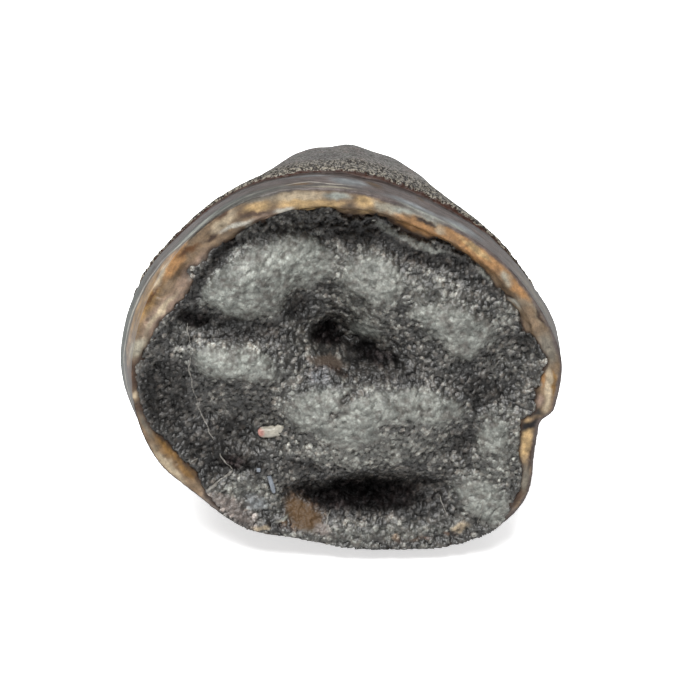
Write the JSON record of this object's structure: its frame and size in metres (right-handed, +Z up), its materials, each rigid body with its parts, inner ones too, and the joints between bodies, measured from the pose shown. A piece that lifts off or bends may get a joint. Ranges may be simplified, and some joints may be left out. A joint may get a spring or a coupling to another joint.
{
  "type": "fossil deinosuchus tooth",
  "caption": "Fossil tooth of a giant crocodilian: blunt curved crown, wrinkled enamel, broken root base with a stone-filled pulp cavity, lying on a small flat spot.",
  "frame": {"origin": "on the surface that the tooth lies on, under the middle of its bounding box", "axes": "+Y from the broken base towards the tip, +X to the right of the base seen from the front, +Z up"},
  "size_m": [0.0282, 0.0372, 0.024],
  "materials": {
    "fossil_tooth": "dark grey-brown mineralised tooth: satin to glossy enamel, granular broken base, amber wall"
  },
  "bodies": {
    "root": {"tooth": "fossil_tooth"}
  },
  "joints": []
}
